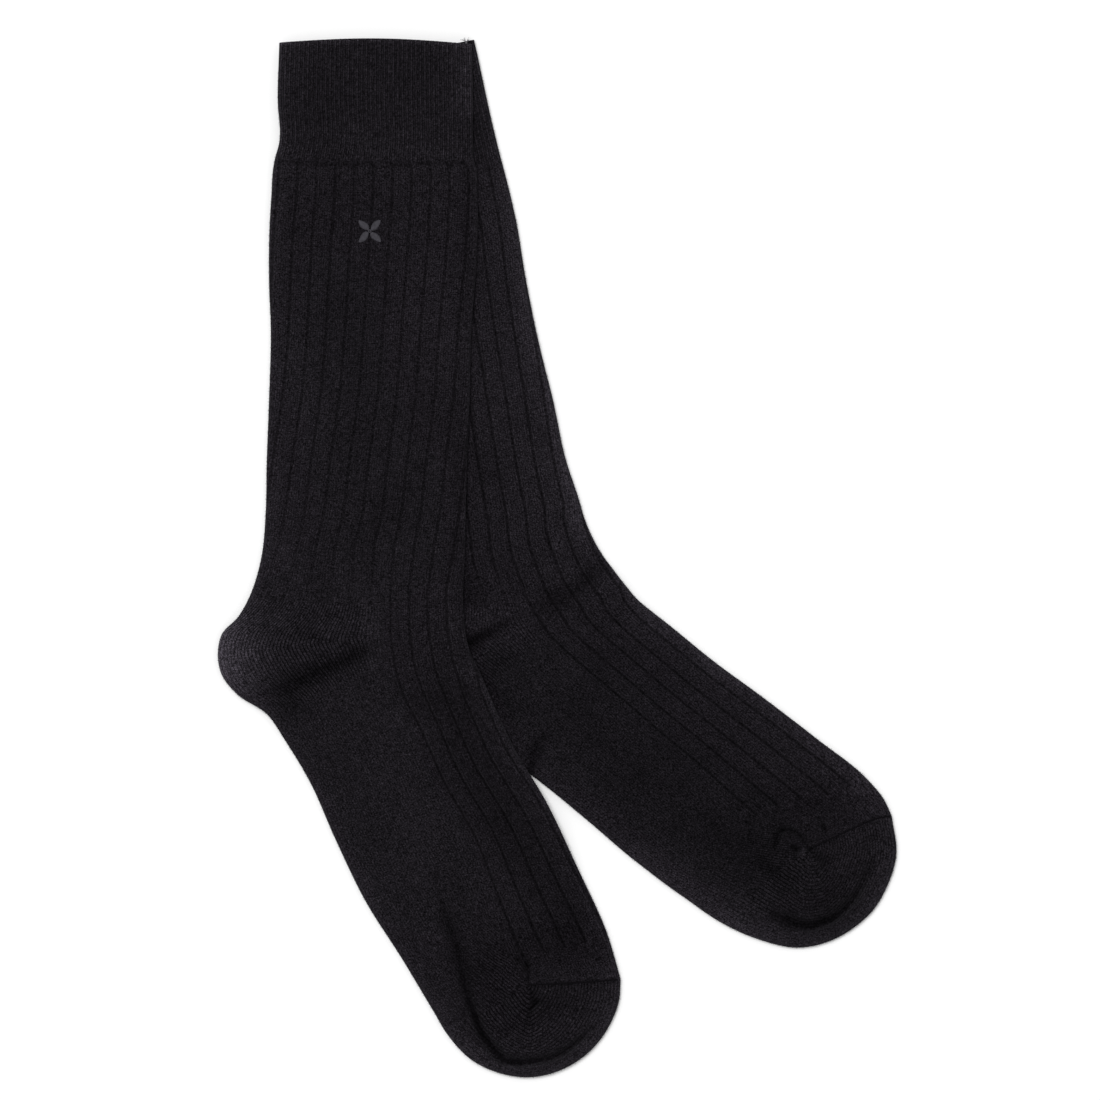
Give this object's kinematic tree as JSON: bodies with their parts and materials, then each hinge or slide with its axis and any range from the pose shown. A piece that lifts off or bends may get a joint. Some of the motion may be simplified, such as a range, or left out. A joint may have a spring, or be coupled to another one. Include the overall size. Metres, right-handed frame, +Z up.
{
  "type": "pair of socks",
  "caption": "Long ribbed knitted socks with fine-rib cuffs, turned heels and linked toes, lying flat with one partly over the other.",
  "frame": {"origin": "centre of the pair's outline, on the surface that the socks lie on", "axes": "+Z up from that surface, +Y from the toes towards the cuffs, +X from the heel of the sock on top towards the other sock's toe"},
  "size_m": [0.2986, 0.4559, 0.0078],
  "materials": {
    "fine_rib_knit": "matt knitted cloth",
    "broad_rib_knit": "matt knitted cloth",
    "heel_knit": "matt knitted cloth",
    "toe_knit": "matt knitted cloth",
    "linking_thread": "matt knitted cloth"
  },
  "bodies": {
    "root": {"top_sock_cuff": "fine_rib_knit", "top_sock_leg": "broad_rib_knit", "top_sock_heel": "heel_knit", "top_sock_foot": "broad_rib_knit", "top_sock_toe": "toe_knit", "top_sock_toe_seam": "linking_thread", "under_sock_cuff": "fine_rib_knit", "under_sock_leg": "broad_rib_knit", "under_sock_heel": "heel_knit", "under_sock_foot": "broad_rib_knit", "under_sock_toe": "toe_knit", "under_sock_toe_seam": "linking_thread"}
  },
  "joints": []
}
